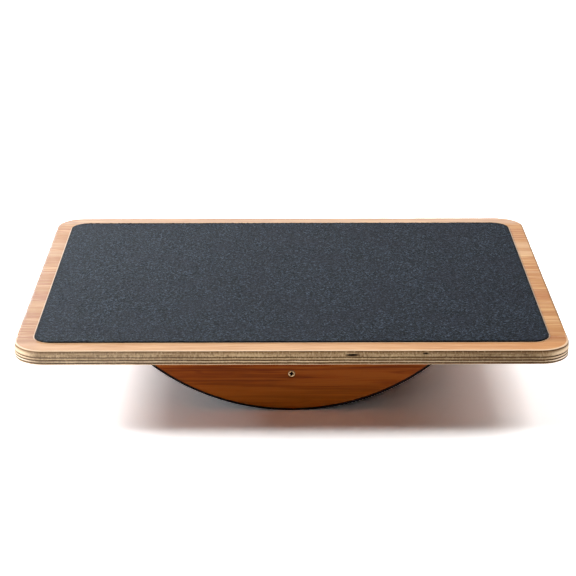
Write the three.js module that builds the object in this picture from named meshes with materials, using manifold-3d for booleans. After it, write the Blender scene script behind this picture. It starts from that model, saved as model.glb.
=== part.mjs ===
// A rocker balance board, in millimetres: a rectangular plywood deck with a grit sheet on top, screwed down
// on a hollow half-round rocker that is faced with thin rubber. The whole board tips on the rocker's arc.
// +X runs along the deck and is the way it tips, +Y runs to the rear long edge and +Z is up.
// The origin is on the floor, under the middle of the rocker.
import * as THREE from "three";
import { mergeVertices } from "three/addons/utils/BufferGeometryUtils.js";
import Module from "manifold-3d";

const wasm = await Module();
wasm.setup();

// Driving dimensions
const DECK = { length: 445, depth: 343, thickness: 12, topHeight: 71, cornerRadius: 25 };
const PLIES = { faceVeneer: 0.6, core: [2.45, 2.45, 2.45, 2.45, 1.1], backVeneer: 0.5 }; // from the top down
const GRIP = { sideMargin: 15, longMargin: 18, thickness: 1, cornerRadius: 15 };
const ROCKER = { radius: 183, width: 253, rubber: 1.5, skin: 3.2, endPlate: 15, rib: 12, spine: 18 };
const EDGE_BLOCK_START = 108; // how far from the middle the glue blocks under the deck begin
const DECK_SCREW = { length: 35, shank: 3.5, head: 7 };
const PLATE_SCREW = { length: 40, shank: 3, head: 6 };
const DECK_SCREW_X = 70; // the deck screws over the end plates, to each side of the middle
const SPINE_SCREW_Y = 75; // the outer two of the three deck screws over the spine
const PLATE_SCREW_DROP = 26.6; // from the deck's underside down to the end plate's screw
const GAP = 0.3; // glue line in the rocker, or room around a screw
const ARC_FACETS = 180; // in a full turn, so that one flat facet is centred at the bottom
const CORNER_FACETS = 9;
const SCREW_FACETS = 12;
const ENDS = [["front", -1], ["rear", 1]]; // with their sides of the X axis
const HANDS = [["left", -1], ["right", 1]]; // with their sides of the Y axis

// Sizes that follow from them
const underside = DECK.topHeight - DECK.thickness;
const arcCentre = ROCKER.radius - underside; // above the deck's underside
const rubberInnerRadius = ROCKER.radius - ROCKER.rubber;
const plateRadius = rubberInnerRadius - GAP;
const skinInnerRadius = plateRadius - ROCKER.skin;
const insideRadius = skinInnerRadius - GAP; // of the spine, ribs and blocks inside the skin
const innerWidth = ROCKER.width - 2 * ROCKER.endPlate;
const plateY = (ROCKER.width - ROCKER.endPlate) / 2;

// Materials
const finish = (color, roughness, metalness = 0) =>
  new THREE.MeshStandardMaterial({ color, roughness, metalness });
const veneerWood = finish(0xdda878, 0.45);
const longPlyWood = finish(0xc9ab80, 0.7);
const crossPlyWood = finish(0xa98c62, 0.75);
const plateWood = finish(0x8a4516, 0.4);
const innerWood = finish(0xcdb088, 0.8);
const gritSheet = finish(0x3a424d, 0.85);
const blackRubber = finish(0x121212, 0.8);
const zincSteel = finish(0xc9b27a, 0.3, 1);

// A closed geometry as a solid that can be joined and cut.
function solid(geometry) {
  const bare = geometry.clone();
  bare.deleteAttribute("normal");
  bare.deleteAttribute("uv");
  const merged = mergeVertices(bare);
  const vertProperties = merged.attributes.position.array;
  const triVerts = new Uint32Array(merged.index.array);
  return new wasm.Manifold(new wasm.Mesh({ numProp: 3, vertProperties, triVerts }));
}

// A named mesh of a solid.
function piece(name, body, material) {
  const { vertProperties, triVerts } = body.getMesh();
  const geometry = new THREE.BufferGeometry();
  geometry.setAttribute("position", new THREE.BufferAttribute(vertProperties, 3));
  geometry.setIndex(new THREE.BufferAttribute(triVerts, 1));
  geometry.computeVertexNormals();
  const mesh = new THREE.Mesh(geometry, material);
  mesh.name = name;
  return mesh;
}

// A box between two places along X and two heights, centred on Y.
function box(startX, endX, width, lowZ, highZ) {
  const geometry = new THREE.BoxGeometry(Math.abs(endX - startX), width, highZ - lowZ);
  return solid(geometry.translate((startX + endX) / 2, 0, (lowZ + highZ) / 2));
}

// A plate with rounded corners, its underside at height 0.
function roundedPlate(length, depth, thickness, radius) {
  const x = length / 2 - radius;
  const y = depth / 2 - radius;
  const outline = new THREE.Shape();
  outline.absarc(x, -y, radius, -Math.PI / 2, 0);
  outline.absarc(x, y, radius, 0, Math.PI / 2);
  outline.absarc(-x, y, radius, Math.PI / 2, Math.PI);
  outline.absarc(-x, -y, radius, Math.PI, 1.5 * Math.PI);
  outline.closePath();
  const options = { depth: thickness, bevelEnabled: false, curveSegments: CORNER_FACETS };
  return solid(new THREE.ExtrudeGeometry(outline, options));
}

// The rocker's round, lying along Y about the arc's centre; its facets touch the circle of that radius.
function round(radius, width) {
  const halfFacet = Math.PI / ARC_FACETS;
  const corner = radius / Math.cos(halfFacet);
  const geometry = new THREE.CylinderGeometry(corner, corner, width, ARC_FACETS, 1, false, halfFacet);
  return solid(geometry.translate(0, 0, arcCentre));
}

// What is left of the round under the deck, between two places along X.
function segment(radius, width, startX = -radius, endX = radius) {
  return round(radius, width).intersect(box(startX, endX, width + 1, -ROCKER.radius, 0));
}

// A curved sheet around the rocker.
function shell(outerRadius, innerRadius, width) {
  return segment(outerRadius, width).subtract(round(innerRadius, width + 1));
}

// A body turned about Z from a profile of [radius, height] points, bottom first.
function turned(profile) {
  const points = profile.map(([radius, height]) => new THREE.Vector2(radius, height));
  return new THREE.LatheGeometry(points, SCREW_FACETS).rotateX(Math.PI / 2);
}

// A countersunk screw with its head's flat face at height 0 and its tip pointing down.
function countersunkScrew({ length, shank, head }) {
  const rim = 0.3; // the head's thin straight edge
  const cone = (head - shank) / 2;
  const tipLength = 1.6 * shank;
  const tipRadius = 0.15 * shank;
  const body = solid(
    turned([
      [0, -length],
      [tipRadius, -length],
      [shank / 2, tipLength - length],
      [shank / 2, -cone - rim],
      [head / 2, -rim],
      [head / 2, 0],
      [0, 0],
    ]),
  );
  return body.subtract(crossRecess(head));
}

// The cross-shaped socket in a screw's head, which narrows downwards.
function crossRecess(head) {
  const span = 0.62 * head;
  const slot = 0.16 * head;
  const depth = 0.36 * head;
  const above = 0.2; // how far the cutting solid stands out of the head
  const across = box(-span / 2, span / 2, slot, -depth, above);
  const along = box(-slot / 2, slot / 2, span, -depth, above);
  const taper = turned([
    [0, -depth],
    [0.3 * span, -depth],
    [0.55 * span, above],
    [0, above],
  ]);
  return across.add(along).intersect(solid(taper));
}

// The room that a screw needs, placed as the screw is: a countersunk hole that runs past its tip.
function screwHole({ length, shank, head }, placement) {
  const cone = (head - shank) / 2;
  const above = 2;
  const pastTip = 1;
  const hole = turned([
    [0, -length - pastTip],
    [shank / 2 + GAP, -length - pastTip],
    [shank / 2 + GAP, -cone - 2 * GAP],
    [head / 2 + GAP, -GAP],
    [head / 2 + GAP, above],
    [0, above],
  ]);
  return solid(hole.applyMatrix4(placement));
}

function cut(body, holes) {
  return holes.reduce((left, hole) => left.subtract(hole), body);
}

function place(mesh, x, y, z, turnX = 0) {
  mesh.position.set(x, y, z);
  mesh.rotation.x = turnX;
  return mesh;
}

// Every screw's name, kind, place and turn, measured from the deck's underside.
const deckScrewTop = DECK.thickness - GAP;
const screws = [
  ["deck_screw_spine_front", DECK_SCREW, 0, -SPINE_SCREW_Y, deckScrewTop, 0],
  ["deck_screw_spine_middle", DECK_SCREW, 0, 0, deckScrewTop, 0],
  ["deck_screw_spine_rear", DECK_SCREW, 0, SPINE_SCREW_Y, deckScrewTop, 0],
  ["plate_screw_front", PLATE_SCREW, 0, GAP - ROCKER.width / 2, -PLATE_SCREW_DROP, Math.PI / 2],
  ["plate_screw_rear", PLATE_SCREW, 0, ROCKER.width / 2 - GAP, -PLATE_SCREW_DROP, -Math.PI / 2],
];
for (const [end, endSide] of ENDS) {
  for (const [hand, handSide] of HANDS) {
    const name = `deck_screw_${end}_${hand}`;
    screws.push([name, DECK_SCREW, handSide * DECK_SCREW_X, endSide * plateY, deckScrewTop, 0]);
  }
}

// The holes for all of them, as seen from a piece whose own zero is at (0, y, z).
function screwHoles(y, z) {
  return screws.map(([, kind, screwX, screwY, screwZ, turnX]) => {
    const placement = new THREE.Matrix4().makeRotationX(turnX);
    return screwHole(kind, placement.setPosition(screwX, screwY - y, screwZ - z));
  });
}

// The deck: a face veneer, core plies whose grain alternates, a back veneer, and the grit sheet.
function makeDeck() {
  const deck = new THREE.Group();
  let height = 0;
  const addPly = (name, thickness, material) => {
    const blank = roundedPlate(DECK.length, DECK.depth, thickness, DECK.cornerRadius);
    deck.add(place(piece(name, cut(blank, screwHoles(0, height)), material), 0, 0, height));
    height += thickness;
  };
  addPly("deck_back_veneer", PLIES.backVeneer, veneerWood);
  for (let ply = PLIES.core.length; ply >= 1; ply--) {
    addPly(`deck_core_ply_${ply}`, PLIES.core[ply - 1], ply % 2 ? crossPlyWood : longPlyWood);
  }
  addPly("deck_face_veneer", PLIES.faceVeneer, veneerWood);
  const gripLength = DECK.length - 2 * GRIP.sideMargin;
  const gripDepth = DECK.depth - 2 * GRIP.longMargin;
  const grip = roundedPlate(gripLength, gripDepth, GRIP.thickness, GRIP.cornerRadius);
  deck.add(place(piece("deck_grip_sheet", grip, gritSheet), 0, 0, DECK.thickness));
  return deck;
}

// The rocker under the deck: two end plates with a bent skin between them, over a spine, a rib on each side
// of it and a glue block along each edge, and the rubber around the outside.
function makeRocker() {
  const rocker = new THREE.Group();
  for (const [end, endSide] of ENDS) {
    const y = endSide * plateY;
    const plate = cut(segment(plateRadius, ROCKER.endPlate), screwHoles(y, 0));
    rocker.add(place(piece(`end_plate_${end}`, plate, plateWood), 0, y, 0));
  }
  const spineHalf = ROCKER.spine / 2;
  const spine = cut(segment(insideRadius, innerWidth, -spineHalf, spineHalf), screwHoles(0, 0));
  rocker.add(piece("centre_spine", spine, innerWood));
  for (const [hand, handSide] of HANDS) {
    const blockStart = handSide * EDGE_BLOCK_START;
    const rib = segment(insideRadius, ROCKER.rib, handSide * spineHalf, blockStart);
    const block = segment(insideRadius, innerWidth, blockStart, handSide * insideRadius);
    rocker.add(piece(`mid_rib_${hand}`, rib, innerWood), piece(`edge_block_${hand}`, block, innerWood));
  }
  const skin = shell(plateRadius, skinInnerRadius, innerWidth);
  const rubber = shell(ROCKER.radius, rubberInnerRadius, ROCKER.width);
  rocker.add(piece("rocker_skin", skin, innerWood), piece("rocker_grip_sheet", rubber, blackRubber));
  return rocker;
}

const board = new THREE.Group();
board.position.z = underside;
board.add(makeDeck(), makeRocker());
for (const [name, kind, x, y, z, turnX] of screws) {
  board.add(place(piece(name, countersunkScrew(kind), zincSteel), x, y, z, turnX));
}

export default board;
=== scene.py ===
import math

import bpy
import numpy as np
from mathutils import Matrix, Vector
from mathutils.geometry import tessellate_polygon


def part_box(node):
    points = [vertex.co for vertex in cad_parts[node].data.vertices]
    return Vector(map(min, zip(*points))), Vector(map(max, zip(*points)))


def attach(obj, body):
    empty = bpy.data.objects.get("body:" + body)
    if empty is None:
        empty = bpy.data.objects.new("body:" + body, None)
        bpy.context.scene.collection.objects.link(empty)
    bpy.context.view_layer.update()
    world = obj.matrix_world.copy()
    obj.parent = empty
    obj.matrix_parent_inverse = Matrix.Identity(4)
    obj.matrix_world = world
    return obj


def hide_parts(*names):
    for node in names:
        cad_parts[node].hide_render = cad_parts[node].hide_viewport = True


# The looks of a rocker balance board around its CAD frame. Everything is in metres: +X runs along the
# board's long side, +Y to its rear edge and +Z up from the floor.
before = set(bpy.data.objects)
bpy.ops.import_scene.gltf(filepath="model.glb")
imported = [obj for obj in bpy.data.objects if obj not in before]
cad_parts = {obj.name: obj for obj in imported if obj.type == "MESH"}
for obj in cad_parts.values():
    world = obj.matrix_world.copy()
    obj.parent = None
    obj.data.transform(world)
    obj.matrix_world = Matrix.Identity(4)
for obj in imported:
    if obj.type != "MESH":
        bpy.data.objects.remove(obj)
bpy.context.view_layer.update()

MM = 0.001
ARRIS_TOP = 1.1 * MM  # rounding of the deck's edges
ARRIS_BOTTOM = 0.9 * MM
CORNER_RADIUS = 25 * MM  # of the deck
GRIT_CORNER_RADIUS = 15 * MM
GRIT_HIGHLIGHT_WIDTH = 1.3 * MM  # width of the painted highlight line on the veneer round the grit sheet
EDGE_STEP = 1.0 * MM  # between the points along the deck's outline
SCREW_GAP = 0.3 * MM  # room around a screw
ARC_STEP = math.radians(0.5)
HOLE_POINTS = 32

deck_low, deck_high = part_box("deck_face_veneer")
DECK_TOP = deck_high.z
DECK_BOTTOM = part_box("deck_back_veneer")[0].z
DECK_LENGTH, DECK_DEPTH = deck_high.x - deck_low.x, deck_high.y - deck_low.y


# ---------------------------------------------------------------- camera, floor and light

CAMERA = {"aim": (-2.6 * MM, -26.4 * MM), "distance": 1.558, "elevation": 20.04, "turn": 0.15, "roll": 0.07}
LENS = 112.5
FLOOR_RADIUS = 12.0
FLOOR_WHITE = 1.4  # brighter than paper, so that the floor is burnt out as it is in a product picture
FLOOR_GLOW = (0.9, 1.8)  # the distances between which the floor fades to the background's white


def add_camera():
    """The camera looks down on the deck's top from the front."""
    data = bpy.data.cameras.new("camera")
    data.lens = LENS
    camera = bpy.data.objects.new("camera", data)
    bpy.context.scene.collection.objects.link(camera)
    turn = Matrix.Rotation(-math.radians(CAMERA["turn"]), 4, "Z")
    tilt = Matrix.Rotation(math.radians(90 - CAMERA["elevation"]), 4, "X")
    roll = Matrix.Rotation(-math.radians(CAMERA["roll"]), 4, "Z")
    aim = Vector((*CAMERA["aim"], DECK_TOP))
    facing = turn @ tilt @ roll
    back = facing.to_3x3() @ Vector((0, 0, CAMERA["distance"]))
    camera.matrix_world = Matrix.Translation(aim + back) @ facing
    bpy.context.scene.camera = camera


WHITE = (1.0, 1.0, 1.0)
COOL = (0.82, 0.92, 1.0)
LIGHTS = {  # place, size, power in watts and colour
    "left_softbox": ((-2.6, 0.1, 1.8), (1.4, 1.1), 143, WHITE),
    "low_back_left_softbox": ((-1.0, 1.7, 0.5), (1.0, 0.6), 57, COOL),
    "back_softbox": ((0, 1.9, 0.8), (1.2, 0.8), 18, WHITE),
    "right_softbox": ((1.6, 0.1, 1.1), (1.0, 0.8), 10, WHITE),
    "high_right_softbox": ((1.2, 0.1, 1.6), (1.0, 0.8), 20, WHITE),
    "front_left_fill": ((-1.0, -1.6, 0.5), (1.0, 0.8), 3.5, WHITE),
}
AIM = (0, 0, 0.03)  # where every light points


def add_light(name, place, size, power, colour):
    """A rectangular softbox of that width and height, facing the board."""
    data = bpy.data.lights.new(name, "AREA")
    data.shape = "RECTANGLE"
    data.size, data.size_y = size
    data.energy = power
    data.color = colour
    light = bpy.data.objects.new(name, data)
    light.location = place
    light.rotation_euler = (Vector(AIM) - Vector(place)).to_track_quat("-Z", "Y").to_euler()
    light.visible_camera = False
    bpy.context.scene.collection.objects.link(light)


def add_studio():
    """A white floor and background, lit by softboxes alone: the background is there for the camera only."""
    scene = bpy.context.scene
    scene.view_settings.view_transform = "Standard"
    scene.world = bpy.data.worlds.new("studio")
    scene.world.use_nodes = True
    sky = scene.world.node_tree.nodes["Background"]
    sky.inputs["Color"].default_value = (1, 1, 1, 1)
    seen_by = scene.world.cycles_visibility
    seen_by.diffuse = seen_by.glossy = seen_by.transmission = seen_by.scatter = False
    for name, settings in LIGHTS.items():
        add_light(name, *settings)
    bpy.ops.mesh.primitive_circle_add(vertices=128, radius=FLOOR_RADIUS, fill_type="NGON")
    floor = bpy.context.object
    floor.name = "floor"
    surface = Surface("floor_white", roughness=0.9)
    surface.shader.inputs["Base Color"].default_value = (FLOOR_WHITE, FLOOR_WHITE, FLOOR_WHITE, 1)
    surface.shader.inputs["Specular IOR Level"].default_value = 0
    distance = surface.add("ShaderNodeVectorMath", {0: surface.coordinates()}, "Value", operation="LENGTH")
    glow = surface.span(distance, *FLOOR_GLOW)
    surface.shader.inputs["Emission Color"].default_value = (1, 1, 1, 1)
    surface.tree.links.new(glow, surface.shader.inputs["Emission Strength"])
    floor.data.materials.append(surface.material)


# ---------------------------------------------------------------- materials


def srgb(red, green, blue):
    """A colour given as 0 to 255 display values, as the linear values that nodes take."""
    values = (red / 255, green / 255, blue / 255)
    return tuple(v / 12.92 if v <= 0.04045 else ((v + 0.055) / 1.055) ** 2.4 for v in values)


class Surface:
    """One material, written from its coordinates to its shader."""

    def __init__(self, name, roughness=0.5, **shader_values):
        self.material = bpy.data.materials.new(name)
        self.material.use_nodes = True
        self.tree = self.material.node_tree
        self.shader = self.tree.nodes["Principled BSDF"]
        self.shader.inputs["Roughness"].default_value = roughness
        for socket, value in shader_values.items():
            self.shader.inputs[socket.replace("_", " ")].default_value = value

    def add(self, kind, inputs, output=0, **settings):
        """A new node's output. Its inputs are given as values or as the outputs that feed them."""
        node = self.tree.nodes.new(kind)
        for name, value in settings.items():
            setattr(node, name, value)
        for key, value in inputs.items():
            if isinstance(value, bpy.types.NodeSocket):
                self.tree.links.new(value, node.inputs[key])
            else:
                node.inputs[key].default_value = value
        return node.outputs[output]

    def coordinates(self, stretch=(1, 1, 1), shift=(0, 0, 0), turn=(0, 0, 0)):
        """The place on the object in metres, stretched: a larger number packs the pattern closer."""
        place = self.add("ShaderNodeTexCoord", {}, "Object")
        values = {"Vector": place, "Location": shift, "Rotation": turn, "Scale": stretch}
        return self.add("ShaderNodeMapping", values)

    def noise(self, place, scale, detail=2.0, rough=0.5, warp=0.0):
        values = {"Vector": place, "Scale": scale, "Detail": detail, "Roughness": rough, "Distortion": warp}
        return self.add("ShaderNodeTexNoise", values)

    def cells(self, place, scale):
        return self.add("ShaderNodeTexVoronoi", {"Vector": place, "Scale": scale})

    def maths(self, operation, first, second=0.0):
        return self.add("ShaderNodeMath", {0: first, 1: second}, operation=operation)

    def span(self, value, low, high, to_low=0.0, to_high=1.0, smooth=True):
        """The value's stretch from low to high, spread over another stretch and held at its ends."""
        values = {"Value": value, "From Min": low, "From Max": high, "To Min": to_low, "To Max": to_high}
        kind = "SMOOTHSTEP" if smooth else "LINEAR"
        return self.add("ShaderNodeMapRange", values, interpolation_type=kind)

    def ramp(self, value, stops):
        """A colour for each value, from (value, linear colour) stops."""
        output = self.add("ShaderNodeValToRGB", {"Fac": value})
        elements = output.node.color_ramp.elements
        while len(elements) < len(stops):
            elements.new(0.5)
        for element, (position, colour) in zip(elements, stops):
            element.position = position
            element.color = (*colour, 1)
        return output

    def mix(self, factor, first, second):
        """The first colour at a factor of 0 and the second at 1."""
        colours = [(*c, 1) if isinstance(c, tuple) else c for c in (first, second)]
        values = {0: factor, 6: colours[0], 7: colours[1]}
        return self.add("ShaderNodeMix", values, 2, data_type="RGBA")

    def axis(self, name):
        """The place on the object along one axis, in metres."""
        return self.add("ShaderNodeSeparateXYZ", {"Vector": self.coordinates()}, "XYZ".index(name))

    def attribute(self, name):
        """A number that paint() stored on the mesh."""
        return self.add("ShaderNodeAttribute", {}, "Fac", attribute_name=name)

    def colour(self, socket):
        self.tree.links.new(socket, self.shader.inputs["Base Color"])

    def roughness(self, socket):
        self.tree.links.new(socket, self.shader.inputs["Roughness"])

    def bump(self, height, depth):
        """Relief of that depth in metres, on top of any relief given before."""
        values = {"Height": height, "Distance": depth}
        before = self.shader.inputs["Normal"].links
        if before:
            values["Normal"] = before[0].from_socket
        self.tree.links.new(self.add("ShaderNodeBump", values), self.shader.inputs["Normal"])


# ---------------------------------------------------------------- mesh helpers


def new_piece(name, vertices, faces, material, slot, smooth_angle=35):
    """A mesh piece on the board, shaded smooth except at edges sharper than an angle in degrees."""
    mesh = bpy.data.meshes.new(name)
    mesh.from_pydata([tuple(v) for v in vertices], [], faces)
    mesh.validate()
    mesh.shade_smooth()
    mesh.set_sharp_from_angle(angle=math.radians(smooth_angle))
    piece = bpy.data.objects.new(name, mesh)
    bpy.context.scene.collection.objects.link(piece)
    mesh.materials.append(material)
    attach(piece, "root")
    return piece


def paint(piece, name, values):
    """Stores a number for each vertex, for the piece's material to read."""
    layer = piece.data.attributes.new(name, "FLOAT", "POINT")
    layer.data.foreach_set("value", np.asarray(values, dtype=np.float32))


def spaced(start, end, step):
    """Evenly spaced values from start up to, but without, end."""
    count = max(1, round(abs(end - start) / step))
    return np.linspace(start, end, count, endpoint=False)


def rounded_outline(length, depth, radius):
    """An anticlockwise rounded rectangle about the origin, with points EDGE_STEP apart."""
    points = []
    straights = [depth - 2 * radius, length - 2 * radius] * 2
    sides = [(1, -1), (1, 1), (-1, 1), (-1, -1)]
    for corner, ((side_x, side_y), straight) in enumerate(zip(sides, straights)):
        centre = np.array([side_x * (length / 2 - radius), side_y * (depth / 2 - radius)])
        start = math.radians(90 * (corner - 1))
        end = start + math.pi / 2
        for angle in spaced(start, end, EDGE_STEP / radius):
            points.append(centre + radius * np.array([math.cos(angle), math.sin(angle)]))
        along = np.array([-math.sin(end), math.cos(end)])
        corner_end = centre + radius * np.array([math.cos(end), math.sin(end)])
        points += [corner_end + along * distance for distance in spaced(0, straight, EDGE_STEP)]
    return np.array(points)


def ring(centre, radius):
    """An anticlockwise circle of HOLE_POINTS points."""
    angles = np.linspace(0, 2 * math.pi, HOLE_POINTS, endpoint=False)
    return np.array(centre) + radius * np.stack([np.cos(angles), np.sin(angles)], axis=1)


def inset(outline, distance):
    """The anticlockwise outline moved inwards by a distance, or by one for each of its points."""
    ahead = np.roll(outline, -1, axis=0) - outline
    behind = outline - np.roll(outline, 1, axis=0)
    normals = []
    for edge in (ahead, behind):
        lengths = np.linalg.norm(edge, axis=1)
        normals.append(np.stack([edge[:, 1], -edge[:, 0]], axis=1) / lengths[:, None])
    middle = normals[0] + normals[1]
    mitre = middle / (0.5 * (middle**2).sum(axis=1))[:, None]
    return outline - mitre * np.reshape(distance, (-1, 1))


def slab(levels, placing=Matrix()):
    """Vertices and faces of a closed slab, placed by a matrix.

    Each level, from the bottom up, is (height, outline, hole rings).
    """
    vertices, faces, starts = [], [], []
    for height, outline, holes in levels:
        starts.append(len(vertices))
        for loop in (outline, *holes):
            vertices += [(x, y, height) for x, y in loop]
    counts = [len(levels[0][1])] + [len(hole) for hole in levels[0][2]]
    for low, high in zip(starts, starts[1:]):
        offset = 0
        for number, count in enumerate(counts):
            for i in range(count):
                j = (i + 1) % count
                quad = [low + offset + i, low + offset + j, high + offset + j, high + offset + i]
                faces.append(quad if number == 0 else quad[::-1])
            offset += count
    bottom, top = (starts[0], levels[0], False), (starts[-1], levels[-1], True)
    for start, (_, outline, holes), up in (bottom, top):
        loops = [[Vector((x, y, 0)) for x, y in loop] for loop in (outline, *holes)]
        points = [point for loop in loops for point in loop]
        for a, b, c in tessellate_polygon(loops):
            turn = (points[b] - points[a]).cross(points[c] - points[a]).z
            faces.append([start + i for i in ((a, b, c) if (turn > 0) == up else (a, c, b))])
    return [placing @ Vector(v) for v in vertices], faces


# ---------------------------------------------------------------- the deck


def edge_inset(height):
    """How far the deck's rounded edge stands in from its side at a height."""
    for radius, into in ((ARRIS_TOP, height - DECK_TOP), (ARRIS_BOTTOM, DECK_BOTTOM - height)):
        if into > -radius:
            return radius - math.sqrt(max(0, radius**2 - (into + radius) ** 2))
    return 0.0


def deck_screws():
    """The (x, y) places of the screws through the deck."""
    names = [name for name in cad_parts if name.startswith("deck_screw")]
    boxes = [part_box(name) for name in names]
    return [((low.x + high.x) / 2, (low.y + high.y) / 2) for low, high in boxes]


def screw_hole_radius(height):
    """The radius of a countersunk deck-screw hole at a height."""
    low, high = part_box("deck_screw_spine_middle")
    head = (high.x - low.x) / 2 + SCREW_GAP
    shank = head / 2
    return max(shank, head - max(0, DECK_TOP - 2 * SCREW_GAP - height))


def smooth_random(count, reach, seed):
    """A closed run of random numbers of about unit size, with no detail finer than reach points."""
    values = np.random.default_rng(seed).normal(size=count)
    finest = count / (6.28 * reach)  # waves round the whole run
    window = np.exp(-0.5 * (np.fft.fftfreq(count, 1 / count) / finest) ** 2)
    smoothed = np.fft.ifft(np.fft.fft(values) * window).real
    return smoothed / smoothed.std()


GROWTH_LINES = [  # place along Y, half width, strength and colour of the face veneer's clearest lines
    (14.5 * MM, 1.1 * MM, 0.7, srgb(206, 172, 134)),
    (-141.0 * MM, 4.0 * MM, 0.6, srgb(138, 78, 34)),
    (-150.0 * MM, 16.0 * MM, 0.35, srgb(138, 78, 34)),
    (-111.0 * MM, 1.3 * MM, 0.4, srgb(140, 80, 38)),
    (-87.0 * MM, 1.3 * MM, 0.4, srgb(140, 80, 38)),
    (-69.0 * MM, 8.0 * MM, 0.4, srgb(176, 130, 80)),
    (-46.0 * MM, 18.0 * MM, 0.7, srgb(148, 88, 37)),
    (-3.0 * MM, 1.4 * MM, 0.35, srgb(140, 80, 38)),
    (9.0 * MM, 3.0 * MM, 0.35, srgb(140, 80, 38)),
    (66.0 * MM, 13.0 * MM, 0.7, srgb(176, 138, 98)),
    (89.0 * MM, 14.0 * MM, 0.7, srgb(174, 136, 96)),
    (125.0 * MM, 6.0 * MM, 0.4, srgb(146, 92, 50)),
]
GROWTH_SWAY = 0.8 * MM  # how far those lines wander to either side
VENEER_TONES = [
    (0.4, srgb(151, 95, 44)),
    (0.47, srgb(158, 106, 54)),
    (0.55, srgb(163, 113, 60)),
    (0.63, srgb(175, 131, 80)),
]
FRONT_MARGIN = (-149 * MM, -156 * MM)  # along Y, where the veneer turns into the lighter front margin
ORANGE_FRONT = (-20 * MM, 180 * MM)  # along X, where the front margin turns more orange
BACK_MARGIN = (146 * MM, 158 * MM)  # along Y, where the veneer turns into the paler back margin
LEFT_END = (-198 * MM, -208 * MM)  # along X, where the left margin turns browner
FACE_START = (-2 * MM, -1 * MM)  # heights from the deck's top, below which a veneer is the back one
BROWN_EDGE = (-0.45 * MM, -0.3 * MM)  # the same, below which the face veneer's edge is brown
BACK_FACE = (0.05 * MM, 0.15 * MM)  # heights from the deck's bottom, below which is the underside
GLUE = srgb(48, 24, 6)
BROWN = srgb(110, 79, 44)
TAN = srgb(156, 126, 91)
PALE = srgb(188, 159, 120)
UNDERSIDE = [srgb(138, 100, 80), srgb(160, 121, 100), srgb(116, 80, 60)]  # darker, lighter and in the grain
BACK_EDGE = srgb(206, 176, 142)
SAP = srgb(214, 188, 152)
SHEEN_GREY = srgb(214, 204, 190)
PLY_PROFILES = {  # wood tones from the top (0) to the bottom (1) of each core ply's edge
    "deck_core_ply_1": [(0, GLUE), (0.12, BROWN), (0.5, TAN), (1, PALE)],
    "deck_core_ply_2": [(0, PALE), (0.5, PALE), (0.8, TAN), (0.92, BROWN), (0.97, GLUE)],
    "deck_core_ply_3": [(0.14, GLUE), (0.22, BROWN), (0.32, PALE), (0.6, PALE), (0.82, BROWN), (0.95, GLUE)],
    "deck_core_ply_4": [(0.15, GLUE), (0.23, BROWN), (0.33, SAP), (0.56, SAP), (0.7, BROWN), (0.9, GLUE)],
    "deck_core_ply_5": [(0.05, GLUE), (0.15, GLUE), (0.35, BROWN), (0.65, PALE)],
}
PLY_SINK = (40 * MM, 190 * MM, 0.35 * MM)  # the stretch along X where the layers sink, and how far
PLY_SHEEN = (-20 * MM, -160 * MM)  # along X, where the plies' edges get a painted sheen, a little greyer to the left
PLY_SHADE = (30 * MM, 160 * MM)  # along X, where painted shade makes them darker to the right
PLY_SHADE_END = (210 * MM, 190 * MM)  # along X, where that ends before the right corner
HIGHLIGHT_CORNER_ACROSS = (200 * MM, 216 * MM)  # from the middle along X, where the painted highlights on the two front corners start
HIGHLIGHT_CORNER_BACK = (-135 * MM, -152 * MM)  # along Y, where they start
CORNER_HIGHLIGHT_STRENGTH = 0.8
CORNER_HIGHLIGHT_GAIN = (1.45, 1.6, 2.0)  # factors on the red, green and blue of the plies' tones there, for the painted highlight
LOW_PLIES = 3  # the plies up to this one, counted from the back veneer, show the clearest layers
LEVEL_STEP = 0.25 * MM  # between the outlines of a ply's edge
GLUE_GROOVE = 0.25 * MM  # depth of the line between two plies
SHOULDER = 0.7 * MM  # height over which a ply's edge comes out again below a glue line
LIP_ABOVE = 0.25 * MM  # the same above the line
RELIEF = 0.07 * MM  # of the plies' edges
HOLE_LIP = 0.1 * MM  # widening of the screw holes at the deck's two faces
TOP_RIM = 1.3 * MM  # flat wood next to the rounded edge, with points of its own
BOTTOM_RIM = 0.6 * MM
TOUCHING = 0.1 * MM  # heights closer than this are the same face
VOID_DEPTH = 3.0 * MM
VOIDS = [  # middle of each gap in a core ply that opens in the deck's edge, and its length and height
    ((48, -171.5, 67.3), (12, 1.9)),
    ((106, -171.5, 68.4), (5, 1.3)),
    ((-93, 171.5, 67.0), (8, 1.1)),
    ((37, 171.5, 61.9), (6, 0.8)),
    ((-222.5, 62, 64.4), (9, 1.0)),
    ((222.5, -38, 67.2), (7, 1.2)),
]


def void_depth(points, height):
    """How deep the gaps in the core plies reach at each outline point, at a height."""
    depth = np.zeros(len(points))
    for (x, y, z), (length, tall) in VOIDS:
        along = np.linalg.norm(points - np.array([x, y]) * MM, axis=1) / (length / 2 * MM)
        room = np.clip(1 - along**2, 0, 1)
        across = abs(height - z * MM) / (tall / 2 * MM)
        depth = np.maximum(depth, VOID_DEPTH * np.clip(2.5 * (room - across), 0, 1))
    return depth


def edge_level(outline, height, low, high, seed):
    """The deck's outline at a height within one ply, with its relief, and how much painted shade each point
    gets inside the gaps.
    """
    common = smooth_random(len(outline), 3.0, seed)
    own = smooth_random(len(outline), 1.2, seed + round(height / MM * 50))
    relief = RELIEF * np.abs(0.7 * common + 0.7 * own)
    share = max(0, 1 - (high - height) / SHOULDER, 1 - (height - low) / LIP_ABOVE)
    groove = GLUE_GROOVE * share * (1 + 0.5 * np.clip(common, -1.5, 1.5))
    gaps = void_depth(outline, height)
    edge = inset(outline, edge_inset(height) + relief + groove + gaps)
    return edge, np.clip(gaps / (0.5 * VOID_DEPTH), 0, 1)


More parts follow.
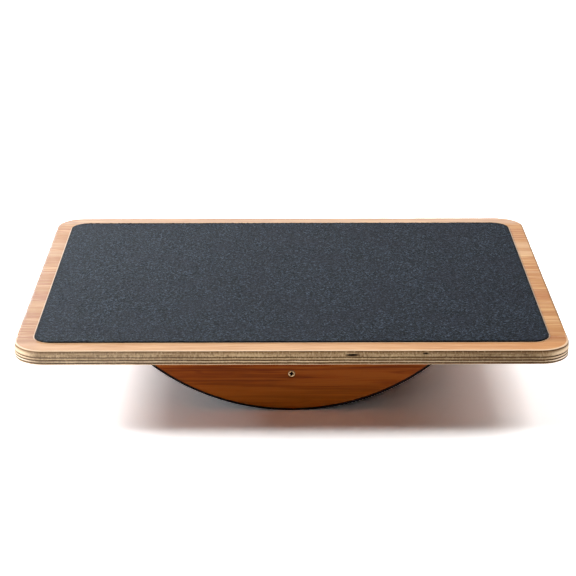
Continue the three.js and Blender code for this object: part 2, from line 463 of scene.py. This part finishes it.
def level_heights(low, high):
    """The heights at which one ply's edge is outlined: closer together where the deck's edge is rounded."""
    steps = np.linspace(0, 1, max(4, round((high - low) / LEVEL_STEP)) + 1)
    if high > DECK_TOP - TOUCHING:
        steps = 1 - (1 - steps) ** 2
    if low < DECK_BOTTOM + TOUCHING:
        steps = steps**2
    return low + (high - low) * steps


def add_deck():
    """The deck's seven layers of wood, with the rounded edge and the screw holes running through them."""
    outline = rounded_outline(DECK_LENGTH, DECK_DEPTH, CORNER_RADIUS)
    # 1 in front, where a highlight is painted on the top's rounded edge, and -1 where that edge is brown
    arris_highlight_and_brown = np.interp(-outline[:, 1], (0.3 * DECK_DEPTH, 0.45 * DECK_DEPTH), (-1.0, 1.0))
    screws = deck_screws()
    plies = ["deck_back_veneer"] + [f"deck_core_ply_{n}" for n in (5, 4, 3, 2, 1)] + ["deck_face_veneer"]
    for number, node in enumerate(plies):
        low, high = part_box(node)
        levels, void_shades, arris = [], [], []
        for height in level_heights(low.z, high.z):
            edge, void_shade = edge_level(outline, height, low.z, high.z, number)
            levels.append((height, edge, [ring(place, screw_hole_radius(height)) for place in screws]))
            void_shades.append(void_shade)
            arris.append(arris_highlight_and_brown * min(1, edge_inset(height) / (0.25 * ARRIS_TOP)))
        if node == "deck_face_veneer":
            widened = [ring(place, screw_hole_radius(high.z) + HOLE_LIP) for place in screws]
            levels.append((high.z, inset(outline, ARRIS_TOP + TOP_RIM), widened))
            void_shades.append(void_shades[-1])
            arris.append(0 * arris_highlight_and_brown)
        if node == "deck_back_veneer":
            widened = [ring(place, screw_hole_radius(low.z) + HOLE_LIP) for place in screws]
            levels.insert(0, (low.z, inset(outline, ARRIS_BOTTOM + BOTTOM_RIM), widened))
            void_shades.insert(0, void_shades[0])
            arris.insert(0, 0 * arris_highlight_and_brown)
        if "veneer" in node:
            material, slot = face_veneer(f"{node}_wood", 3.1 + number), "face_veneer"
        else:
            material = ply_edge(node, number, low.z, high.z)
            slot = "core_ply_long" if number % 2 == 0 else "core_ply_cross"
        piece = new_piece(f"{node}_panel", *slab(levels), material, slot)
        holes = [0.0] * (HOLE_POINTS * len(screws))
        # painted shade for the gaps in the core plies
        paint(piece, "void_shade", np.concatenate([np.concatenate([void_shade, holes]) for void_shade in void_shades]))
        # painted highlight on the front's rounded top edge
        paint(piece, "arris", np.concatenate([np.concatenate([share, holes]) for share in arris]))
        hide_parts(node)


def face_veneer(name, seed):
    """A lacquered light reddish veneer with bands, streaks and lines along X, and a browner underside."""
    surface = Surface(name, roughness=0.4, Specular_IOR_Level=0.034)
    shift = (seed, seed * 1.7, seed * 2.3)
    bands = surface.noise(surface.coordinates((1.6, 60, 60), shift), 1.0, detail=4, rough=0.6)
    streaks = surface.noise(surface.coordinates((6, 380, 380), shift), 1.0, detail=4, rough=0.6, warp=0.3)
    veins = surface.noise(surface.coordinates((3, 150, 150), shift), 1.0, detail=3, rough=0.65, warp=0.5)
    fibres = surface.noise(surface.coordinates((60, 2200, 2200)), 1.0, detail=3, rough=0.65)
    tone = surface.maths("ADD", bands, surface.span(streaks, 0.3, 0.7, -0.07, 0.07))
    base = surface.ramp(tone, VENEER_TONES)
    base = surface.mix(surface.span(veins, 0.55, 0.64, 0, 0.45), base, srgb(138, 82, 38))
    base = surface.mix(surface.span(fibres, 0.52, 0.75, 0, 0.25), base, srgb(130, 80, 38))
    across, along = surface.axis("Y"), surface.axis("X")
    sway = surface.noise(surface.coordinates((7, 0, 0)), 1.0, detail=2)
    swaying = surface.maths("ADD", across, surface.span(sway, 0.3, 0.7, -GROWTH_SWAY, GROWTH_SWAY))
    for place, width, strength, colour in GROWTH_LINES:
        distance = surface.maths("ABSOLUTE", surface.maths("SUBTRACT", swaying, place))
        line = surface.span(distance, 0.3 * width, width, strength, 0)
        base = surface.mix(line, base, colour)
    front_strip = surface.span(across, *FRONT_MARGIN)
    base = surface.mix(surface.maths("MULTIPLY", front_strip, 0.75), base, srgb(188, 144, 102))
    orange = surface.maths("MULTIPLY", front_strip, surface.span(along, *ORANGE_FRONT, 0, 0.7))
    base = surface.mix(orange, base, srgb(168, 106, 44))
    base = surface.mix(surface.span(across, *BACK_MARGIN, 0, 0.8), base, srgb(170, 138, 112))
    base = surface.mix(surface.span(along, *LEFT_END, 0, 0.27), base, srgb(134, 80, 40))
    flecks = surface.noise(surface.coordinates((26, 420, 420), shift), 1.0, detail=4, rough=0.6, warp=0.4)
    base = surface.mix(surface.span(flecks, 0.5, 0.66, 0, 0.4), base, srgb(148, 96, 48))
    base = surface.mix(surface.span(flecks, 0.34, 0.5, 0.4, 0), base, srgb(204, 162, 116))
    above = surface.maths("SUBTRACT", surface.axis("Z"), DECK_TOP)
    is_face = surface.span(above, *FACE_START)
    painted_highlight_line = surface.maths("MULTIPLY", beside_grit_sheet(surface), is_face)
    # painted highlight, a pale line round the grit sheet
    base = surface.mix(surface.maths("MULTIPLY", painted_highlight_line, 0.6), base, srgb(214, 186, 158))
    arris = surface.attribute("arris")
    # painted highlight on the front's rounded top edge
    base = surface.mix(surface.span(arris, 0, 1, 0, 0.75), base, srgb(226, 200, 170))
    base = surface.mix(surface.span(arris, 0, -1, 0, 0.6), base, BROWN)
    behind_edge = surface.span(above, *BROWN_EDGE, 0.9, 0)
    base = surface.mix(surface.maths("MULTIPLY", behind_edge, is_face), base, BROWN)
    above_bottom = surface.maths("SUBTRACT", surface.axis("Z"), DECK_BOTTOM)
    under = surface.mix(surface.span(tone, 0.42, 0.6), UNDERSIDE[0], UNDERSIDE[1])
    under = surface.mix(surface.span(flecks, 0.5, 0.66, 0, 0.5), under, UNDERSIDE[2])
    under = surface.mix(surface.span(veins, 0.55, 0.64, 0, 0.5), under, UNDERSIDE[2])
    back = surface.mix(surface.span(above_bottom, *BACK_FACE), under, BACK_EDGE)
    surface.colour(surface.mix(is_face, back, base))
    surface.roughness(surface.span(fibres, 0.3, 0.7, 0.34, 0.46))
    surface.bump(fibres, 0.02 * MM)
    surface.bump(streaks, 0.03 * MM)
    return surface.material


def beside_grit_sheet(surface):
    """1 on the veneer close round the grit sheet, where a pale line is painted as a highlight."""
    low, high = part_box("deck_grip_sheet")
    centre, half = (low + high) / 2, (high - low) / 2
    squares = []
    for axis, middle, reach in (("X", centre.x, half.x), ("Y", centre.y, half.y)):
        offset = surface.maths("ABSOLUTE", surface.maths("SUBTRACT", surface.axis(axis), middle))
        past_straight = surface.maths("SUBTRACT", offset, reach - GRIT_CORNER_RADIUS)
        beyond = surface.maths("MAXIMUM", past_straight, 0.0)
        squares.append(surface.maths("MULTIPLY", beyond, beyond))
    from_corner_centre = surface.maths("SQRT", surface.maths("ADD", *squares))
    from_sheet = surface.maths("SUBTRACT", from_corner_centre, GRIT_CORNER_RADIUS)
    return surface.span(from_sheet, GRIT_HIGHLIGHT_WIDTH, 0.6 * GRIT_HIGHLIGHT_WIDTH)


def ply_edge(node, number, low, high):
    """One core ply's wood, with the dark glue lines that its edge shows."""
    surface = Surface(f"{node}_wood", roughness=0.6, Specular_IOR_Level=0.2)
    shift = (number * 3.1, number * 1.3, 0)
    stretch = (60, 1100, 900) if number % 2 == 0 else (1100, 60, 260)
    fibres = surface.noise(surface.coordinates(stretch, shift), 1.0, detail=4, rough=0.7)
    pores = surface.noise(surface.coordinates((650, 650, 260), shift), 1.0, detail=3, rough=0.6)
    broad = surface.noise(surface.coordinates((26, 26, 160), shift), 1.0, detail=3, rough=0.6)
    waves = surface.noise(surface.coordinates((85, 85, 20)), 1.0, detail=5, rough=0.6)
    fallen = surface.maths("SUBTRACT", high, surface.axis("Z"))
    sway, mottle = (0.13 * MM, 0.55) if number <= LOW_PLIES else (0.22 * MM, 1.0)
    wandering = surface.maths("ADD", fallen, surface.span(waves, 0.3, 0.7, -sway, sway, smooth=False))
    along = surface.axis("X")
    sink_start, sink_end, sink = PLY_SINK
    wandering = surface.maths("SUBTRACT", wandering, surface.span(along, sink_start, sink_end, 0, sink))
    share = surface.span(wandering, 0, high - low, smooth=False)
    base = surface.ramp(share, PLY_PROFILES[node])
    base = surface.mix(surface.span(broad, 0.4, 0.62, 0, 0.5 * mottle), base, BROWN)
    base = surface.mix(surface.span(fibres, 0.45, 0.62, 0, 0.3), base, BROWN)
    base = surface.mix(surface.span(pores, 0.52, 0.63, 0, 0.55 * mottle), base, srgb(84, 60, 34))
    base = surface.mix(surface.span(pores, 0.36, 0.45, 0.4 * mottle, 0), base, srgb(209, 182, 144))
    # painted sheen, greyer towards the left
    base = surface.mix(surface.span(along, *PLY_SHEEN, 0, 0.08), base, SHEEN_GREY)
    # painted shade, darker towards the right end
    darker, to_corner = surface.span(along, *PLY_SHADE, 0, 0.4), surface.span(along, *PLY_SHADE_END)
    base = surface.mix(surface.maths("MULTIPLY", darker, to_corner), base, srgb(70, 44, 17))
    # painted highlight: paler plies round the two front corners
    around_highlight_corner = surface.span(surface.maths("ABSOLUTE", along), *HIGHLIGHT_CORNER_ACROSS, 0, CORNER_HIGHLIGHT_STRENGTH)
    in_front = surface.span(surface.axis("Y"), *HIGHLIGHT_CORNER_BACK)
    highlighted_profile = []
    for place, tone in PLY_PROFILES[node]:
        highlighted_profile.append((place, tuple(gain * c for gain, c in zip(CORNER_HIGHLIGHT_GAIN, tone))))
    base = surface.mix(surface.maths("MULTIPLY", around_highlight_corner, in_front), base, surface.ramp(share, highlighted_profile))
    void_shade = surface.attribute("void_shade")
    # painted shade inside the gaps in the core plies
    surface.colour(surface.mix(void_shade, base, srgb(22, 7, 3)))
    surface.bump(fibres, 0.12 * MM)
    return surface.material


GRAIN_SPACING = 1.25 * MM
GRAIN_JITTER = np.array([0.25, 0.25, 0.11]) * MM  # how far a grain strays along X, Y and Z
GRAIN_MIDDLE = 0.1 * MM  # depth of the grains' middle height below the sheet's CAD top
RIM_DROP = 0.06 * MM  # how far the cut edge is below that height
CORNER_ROWS = 17  # rows of grains across each end's round corners


def add_grit_sheet():
    """The standing surface: a film 1 mm thick with sharp mineral grit all over its top."""
    low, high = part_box("deck_grip_sheet")
    half_length, half_depth = high.x, high.y
    spacing, radius = GRAIN_SPACING, GRIT_CORNER_RADIUS
    middle = half_depth - radius
    turns = np.linspace(0, math.pi / 2, CORNER_ROWS)
    # a row is its place along Y and how far a round corner cuts it short
    corner_rows = [(middle + radius * math.sin(turn), radius * (1 - math.cos(turn))) for turn in turns]
    straight_rows = [(y, 0.0) for y in spaced(-middle, middle, spacing)[1:]]
    rows = [(-y, cut) for y, cut in corner_rows[::-1]] + straight_rows + corner_rows
    columns = round(2 * half_length / spacing)
    noise = np.random.default_rng(5)
    vertices, rim_strength = [], []
    for number, (y, cut) in enumerate(rows):
        edge_row = number in (0, len(rows) - 1)
        for x in np.linspace(cut - half_length, half_length - cut, columns + 1):
            at_edge = edge_row or abs(x) > half_length - cut - 0.5 * spacing
            from_edge = min(half_length - cut - abs(x), half_depth - abs(y))
            jitter = (0, 0, -RIM_DROP) if at_edge else noise.normal(size=3) * GRAIN_JITTER
            vertices.append((x + jitter[0], y + jitter[1], high.z - GRAIN_MIDDLE + jitter[2]))
            rim_strength.append(min(1, max(0, 1.6 - from_edge / spacing)))
    width = columns + 1
    faces = []
    for row in range(len(rows) - 1):
        for column in range(columns):
            corner = row * width + column
            faces.append([corner, corner + 1, corner + width + 1, corner + width])
    last = (len(rows) - 1) * width
    rim = list(range(columns)) + [r * width + columns for r in range(len(rows) - 1)]
    rim += [last + c for c in range(columns, 0, -1)] + [r * width for r in range(len(rows) - 1, 0, -1)]
    bottom = {index: len(vertices) + k for k, index in enumerate(rim)}
    vertices += [(vertices[i][0], vertices[i][1], low.z) for i in rim]
    for here, after in zip(rim, rim[1:] + rim[:1]):
        faces.append([here, bottom[here], bottom[after], after])
    faces.append([bottom[i] for i in reversed(rim)])
    piece = new_piece("grit_standing_sheet", vertices, faces, grit(), "grit_sheet", 60)
    paint(piece, "rim", rim_strength + [1.0] * len(rim))
    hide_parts("deck_grip_sheet")


def grit():
    """Slate-grey mineral grit in lighter and darker clusters, dark where the sheet is cut."""
    surface = Surface("mineral_grit", roughness=0.6, Specular_IOR_Level=0.035)
    place = surface.coordinates()
    grains = surface.noise(place, 1300, detail=3, rough=0.8)
    clusters = surface.noise(place, 660, detail=4, rough=0.75)
    cloud = surface.noise(place, 24, detail=3)
    base = surface.mix(surface.span(grains, 0.36, 0.62), srgb(9, 11, 14), srgb(27, 33, 39))
    base = surface.mix(surface.span(clusters, 0.5, 0.62, 0, 0.9), base, srgb(56, 66, 81))
    base = surface.mix(surface.span(clusters, 0.63, 0.69, 0, 0.65), base, srgb(112, 120, 135))
    base = surface.mix(surface.span(clusters, 0.46, 0.39, 0, 0.9), base, srgb(2, 3, 4))
    base = surface.mix(surface.span(cloud, 0.42, 0.62, 0, 0.3), base, srgb(26, 26, 35))
    rim = surface.attribute("rim")
    surface.colour(surface.mix(surface.maths("MULTIPLY", rim, 0.85), base, srgb(7, 8, 9)))
    surface.roughness(surface.span(grains, 0.4, 0.7, 0.75, 0.55))
    surface.bump(grains, 0.5 * MM)
    surface.bump(clusters, 0.65 * MM)
    return surface.material


# ---------------------------------------------------------------- the rocker


def rocker_circle():
    """The rocker's centre height and outer radius, from its chord under the deck and its depth."""
    low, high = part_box("rocker_grip_sheet")
    half_chord, depth = (high.x - low.x) / 2, high.z - low.z
    radius = (half_chord**2 + depth**2) / (2 * depth)
    return low.z + radius, radius


def arc_points(centre_height, radius, top):
    """Points (x, z) of the round below a height, from left to right."""
    half_angle = math.acos((centre_height - top) / radius)
    count = round(2 * half_angle / ARC_STEP)
    angles = np.linspace(-half_angle, half_angle, count + 1)
    return np.stack([radius * np.sin(angles), centre_height - radius * np.cos(angles)], axis=1)


def facing_out(end, y):
    """Turns a slab's (x, z, depth) into the frame, its depth counted outwards from y at that end."""
    if end == "front":
        return Matrix(((1, 0, 0, 0), (0, 0, -1, y), (0, 1, 0, 0), (0, 0, 0, 1)))
    return Matrix(((-1, 0, 0, 0), (0, 0, 1, y), (0, 1, 0, 0), (0, 0, 0, 1)))


PLATE_GRAIN_LEAN = math.radians(3)
CHORD_STEP = 3 * MM  # between the points along the plates' straight top
PAINTED_LIGHT_FOOT = (32 * MM, 6 * MM)  # heights between which painted light makes the front plate paler downwards
SHADE_UNDER_DECK = (2.4 * MM, 0.4 * MM)  # depths below the plates' top between which painted shade makes them darker upwards
RUBBER_THICKNESS = 1.5 * MM
RUBBER_LEVELS = 31  # outlines along the rubber, from end to end
RUBBER_END = (0.5 * MM, 1.0 * MM)  # distances from its ends, between which the painted shade of the cut ends gives way to the tread


def add_end_plates():
    """The half-moon plates, their outer edges rounded and their screw holes countersunk."""
    centre, _ = rocker_circle()
    for end in ("front", "rear"):
        low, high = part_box(f"end_plate_{end}")
        screw_low, screw_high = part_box(f"plate_screw_{end}")
        back = high.y if end == "front" else low.y
        radius = centre - low.z
        outline = arc_points(centre, radius, high.z)
        chord = np.stack([spaced(outline[-1, 0], outline[0, 0], CHORD_STEP)[1:]] * 2, axis=1)
        chord[:, 1] = high.z
        outline = np.concatenate([outline, chord])
        thickness = high.y - low.y
        head = (screw_high.x - screw_low.x) / 2
        shank_hole = head / 2 + SCREW_GAP
        place = (0, (screw_low.z + screw_high.z) / 2)
        levels = []
        for depth, cut, hole in (
            (0, 0, shank_hole),
            (thickness - 2.2 * MM, 0, shank_hole),
            (thickness - 0.35 * MM, 0, head + 0.35 * MM),
            (thickness - 0.15 * MM, 0.05 * MM, head + 0.4 * MM),
            (thickness, 0.25 * MM, head + 0.55 * MM),
            (thickness, 0.8 * MM, head + 1.0 * MM),
        ):
            levels.append((depth, inset(outline, cut), [ring(place, hole)]))
        vertices, faces = slab(levels, facing_out(end, back))
        piece = new_piece(f"half_moon_plate_{end}", vertices, faces, plate_veneer(end, high.z), "end_plate")
        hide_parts(f"end_plate_{end}")


def plate_veneer(end, top):
    """A veneer stained reddish brown, with fine wavy growth lines along X, and painted shade darkening it
    close under the deck.
    """
    surface = Surface(f"plate_wood_{end}", roughness=0.5, Specular_IOR_Level=0.07)
    seed = 5.2 if end == "front" else 9.9
    shift = (seed, seed * 1.7, seed * 2.3)
    lean = (0, PLATE_GRAIN_LEAN, 0)
    field_place = surface.coordinates((2.2, 1, 42), shift, lean)
    field = surface.noise(field_place, 1.0, detail=2, rough=0.4, warp=0.2)
    rings = surface.maths("PINGPONG", surface.maths("MULTIPLY", field, 36.0), 1.0)
    broad = surface.noise(surface.coordinates((3, 1, 40), shift, lean), 1.0, detail=3, rough=0.6)
    streak_place = surface.coordinates((14, 1, 420), shift, lean)
    streaks = surface.noise(streak_place, 1.0, detail=4, rough=0.65, warp=0.3)
    fibres = surface.noise(surface.coordinates((90, 1, 1900), shift, lean), 1.0, detail=3, rough=0.65)
    base = surface.mix(surface.span(broad, 0.35, 0.65), srgb(138, 66, 9), srgb(127, 59, 7))
    base = surface.mix(surface.span(rings, 0.76, 1.0, 0, 0.5), base, srgb(98, 36, 3))
    base = surface.mix(surface.span(streaks, 0.47, 0.6, 0, 0.35), base, srgb(112, 44, 5))
    base = surface.mix(surface.span(fibres, 0.5, 0.75, 0, 0.3), base, srgb(98, 40, 5))
    fine = surface.noise(surface.coordinates((11, 1, 460), shift, lean), 1.0, detail=2, rough=0.5)
    base = surface.mix(surface.span(fine, 0.5, 0.62, 0, 0.6), base, srgb(92, 36, 2))
    base = surface.mix(surface.span(fine, 0.5, 0.38, 0, 0.3), base, srgb(166, 92, 30))
    if end == "rear":
        # painted shade: the rear plate is a darker copy of the same veneer
        base = surface.mix(0.55, base, srgb(58, 36, 25))
    else:
        # painted light, paler towards the front plate's foot
        base = surface.mix(surface.span(surface.axis("Z"), *PAINTED_LIGHT_FOOT, 0, 0.45), base, srgb(178, 100, 22))
    # painted shade close under the deck
    painted_shade_under_deck = surface.span(surface.axis("Z"), top - SHADE_UNDER_DECK[0], top - SHADE_UNDER_DECK[1], 0, 0.75)
    surface.colour(surface.mix(painted_shade_under_deck, base, srgb(70, 20, 3)))
    surface.bump(fibres, 0.03 * MM)
    surface.bump(streaks, 0.04 * MM)
    return surface.material


def add_rubber():
    """The thin sheet bent round the rocker, from plate to plate."""
    centre, outer = rocker_circle()
    low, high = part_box("rocker_grip_sheet")
    outside = arc_points(centre, outer, high.z)
    inside = arc_points(centre, outer - RUBBER_THICKNESS, high.z)
    outline = np.concatenate([outside, inside[::-1]])
    width = high.y - low.y
    levels = [(depth, outline, []) for depth in np.linspace(0, width, RUBBER_LEVELS)]
    vertices, faces = slab(levels, facing_out("front", high.y))
    piece = new_piece("rubber_tread", vertices, faces, rubber(), "rubber_sheet")
    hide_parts("rocker_grip_sheet")


def rubber():
    """Matt black rubber with a fine stipple, with painted shade making its two cut ends darkest."""
    surface = Surface("black_rubber", roughness=0.75, Specular_IOR_Level=0.1)
    half_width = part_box("rocker_grip_sheet")[1].y
    place = surface.coordinates()
    pebbles = surface.cells(place, 900)
    dust = surface.noise(place, 60, detail=4, rough=0.7)
    from_end = surface.maths("SUBTRACT", half_width, surface.maths("ABSOLUTE", surface.axis("Y")))
    tread = surface.span(from_end, *RUBBER_END)
    dark = surface.ramp(dust, [(0.3, srgb(4, 2, 1)), (0.75, srgb(14, 9, 7))])
    light = surface.ramp(dust, [(0.3, srgb(27, 27, 27)), (0.75, srgb(44, 43, 42))])
    # painted shade darkens the two cut ends below the tread's colour
    surface.colour(surface.mix(tread, dark, light))
    surface.roughness(surface.span(dust, 0.3, 0.7, 0.55, 0.75))
    surface.bump(pebbles, 0.2 * MM)
    return surface.material


def bare_wood(name, seed):
    """Bare plywood of the framing inside, with its grain along X."""
    surface = Surface(name, roughness=0.75)
    field_place = surface.coordinates((2.2, 17, 17), (seed, seed * 1.7, seed * 2.3))
    field = surface.noise(field_place, 1.0, detail=3, rough=0.45, warp=0.35)
    rings = surface.maths("PINGPONG", surface.maths("MULTIPLY", field, 9.0), 1.0)
    growth = surface.span(rings, 0.55, 1.0)
    broad = surface.noise(surface.coordinates((1.5, 26, 26), (seed, 0, 0)), 1.0, detail=2)
    fibres = surface.noise(surface.coordinates((45, 1500, 1500)), 1.0, detail=3, rough=0.65)
    base = surface.ramp(broad, [(0.3, srgb(206, 176, 134)), (0.7, srgb(188, 156, 114))])
    base = surface.mix(surface.span(growth, 0, 1, 0, 0.4), base, srgb(150, 112, 72))
    surface.colour(surface.mix(surface.span(fibres, 0.5, 0.8, 0, 0.3), base, srgb(130, 96, 60)))
    surface.bump(fibres, 0.05 * MM)
    return surface.material


INNER_NODES = [
    "centre_spine",
    "mid_rib_left",
    "mid_rib_right",
    "edge_block_left",
    "edge_block_right",
    "rocker_skin",
]


def dress_inner_nodes():
    """Gives the framing that nothing outside shows its wood; the CAD shapes stay."""
    for number, node in enumerate(INNER_NODES):
        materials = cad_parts[node].data.materials
        materials.clear()
        materials.append(bare_wood(f"{node}_wood", number * 1.3))


# ---------------------------------------------------------------- screws

SCREW_POINTS = 48  # vertices round a screw
THREAD_PITCH = 1.7 * MM
THREAD_STEP = 0.17 * MM
LIP = 0.42 * MM  # rounding of a screw head's rim
RECESS_REACH = 0.66  # of the head's radius
RECESS_WIDTH = 0.27
RECESS_DEPTH = 0.62
HEAD_RINGS = 22  # rings of vertices from the rim to the middle of a head
RIM_SHADE = (0.95, 0.95, 0.75)  # painted shade on the last three rows outside those rings, where the rim meets the wood


def zinc_steel():
    """Yellow zinc plating, with painted shade in the cross recess and where the rim meets the wood."""
    surface = Surface("yellow_zinc_steel", roughness=0.3, Metallic=1.0)
    place = surface.coordinates()
    film = surface.noise(place, 400, detail=3, rough=0.6)
    plating = surface.mix(surface.span(film, 0.35, 0.65), srgb(212, 176, 134), srgb(190, 150, 108))
    recess_and_rim_shade = surface.attribute("recess")
    # painted shade in the cross recess and round the head's rim
    surface.colour(surface.mix(recess_and_rim_shade, plating, srgb(24, 12, 8)))
    surface.roughness(surface.span(film, 0.3, 0.7, 0.28, 0.45))
    surface.bump(surface.noise(place, 3000, detail=2), 0.01 * MM)
    return surface.material


def recess(x, y, head):
    """Depth of the cross recess at a point of a screw's head."""
    near, far = min(abs(x), abs(y)), max(abs(x), abs(y))
    inside = np.clip((RECESS_WIDTH * head - near) / (0.05 * head), 0, 1)
    inside *= np.clip((RECESS_REACH * head - far) / (0.08 * head), 0, 1)
    return inside * head * (RECESS_DEPTH - 0.4 * math.hypot(x, y) / head)


def turn_by(x, y, angle):
    """A point turned about the origin."""
    return x * math.cos(angle) - y * math.sin(angle), x * math.sin(angle) + y * math.cos(angle)


def screw_mesh(length, head, turned):
    """A countersunk wood screw from its tip at 0 up to its head, and how much painted shade each vertex
    gets.

    head is the head's radius, and turned is the angle of the cross recess.
    """
    shank, core = head / 2, head * 0.33
    neck = length - (head - shank) - LIP
    thread_end = 0.66 * length
    angles = np.linspace(0, 2 * math.pi, SCREW_POINTS, endpoint=False)
    rows = []
    for height in spaced(0, thread_end, THREAD_STEP):
        wave = np.abs(((height / THREAD_PITCH - angles / (2 * math.pi)) % 1) * 2 - 1)
        crest = np.clip(2.2 * wave - 1.2, 0, 1) * min(1, (thread_end - height) / THREAD_PITCH)
        taper = min(1, 0.08 + height / (2.2 * head))
        rows.append([(radius, height) for radius in (core + (shank - core) * crest) * taper])
    for radius, height in (
        (core, thread_end),
        (0.9 * shank, thread_end + 0.3 * MM),
        (0.9 * shank, neck),
        (head - 0.2 * LIP, length - 1.2 * LIP),
        (head, length - LIP),
        (head - 0.3 * LIP, length - 0.3 * LIP),
        (head - LIP, length),
    ):
        rows.append([(radius, height)] * SCREW_POINTS)
    vertices = [(r * math.cos(a), r * math.sin(a), z) for row in rows for a, (r, z) in zip(angles, row)]
    dark = [0.0] * (len(vertices) - len(RIM_SHADE) * SCREW_POINTS)
    for darkness in RIM_SHADE:
        dark += [darkness] * SCREW_POINTS
    for radius in np.linspace(head - LIP, 0, HEAD_RINGS)[1:-1]:
        for angle in angles:
            x, y = radius * math.cos(angle), radius * math.sin(angle)
            depth = recess(*turn_by(x, y, turned), head)
            vertices.append((x, y, length - depth))
            dark.append(min(1, depth / (0.2 * head)))
    rings = len(vertices) // SCREW_POINTS
    faces = []
    for row in range(rings - 1):
        for i in range(SCREW_POINTS):
            j = (i + 1) % SCREW_POINTS
            start, above = row * SCREW_POINTS, (row + 1) * SCREW_POINTS
            faces.append([start + i, start + j, above + j, above + i])
    dark += [0.0, 1.0]
    for row, centre_height, up in ((0, 0, False), (rings - 1, length - recess(0, 0, head), True)):
        centre = len(vertices)
        vertices.append((0, 0, centre_height))
        for i in range(SCREW_POINTS):
            pair = [row * SCREW_POINTS + i, row * SCREW_POINTS + (i + 1) % SCREW_POINTS]
            faces.append([*pair, centre] if up else [*pair[::-1], centre])
    return vertices, faces, dark


FIRST_TURN, NEXT_TURN = 1.05, 1.9  # angle of the first screw's recess, and of each next one past it


def add_screws():
    """The nine screws, each turned differently."""
    steel = zinc_steel()
    names = sorted(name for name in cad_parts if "screw" in name)
    for number, node in enumerate(names):
        low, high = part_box(node)
        middle = (low + high) / 2
        size = high - low
        if node.startswith("deck"):
            placing = Matrix.Translation((middle.x, middle.y, low.z))
            length = size.z
        elif node.endswith("front"):
            placing = Matrix.Translation((middle.x, high.y, middle.z)) @ Matrix.Rotation(math.pi / 2, 4, "X")
            length = size.y
        else:
            placing = Matrix.Translation((middle.x, low.y, middle.z)) @ Matrix.Rotation(-math.pi / 2, 4, "X")
            length = size.y
        vertices, faces, dark = screw_mesh(length, size.x / 2, FIRST_TURN + NEXT_TURN * number)
        placed = [placing @ Vector(v) for v in vertices]
        piece = new_piece(f"{node}_threaded", placed, faces, steel, "screw_steel")
        paint(piece, "recess", dark)
        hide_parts(node)


add_camera()
add_studio()
add_deck()
add_grit_sheet()
add_end_plates()
add_rubber()
dress_inner_nodes()
add_screws()
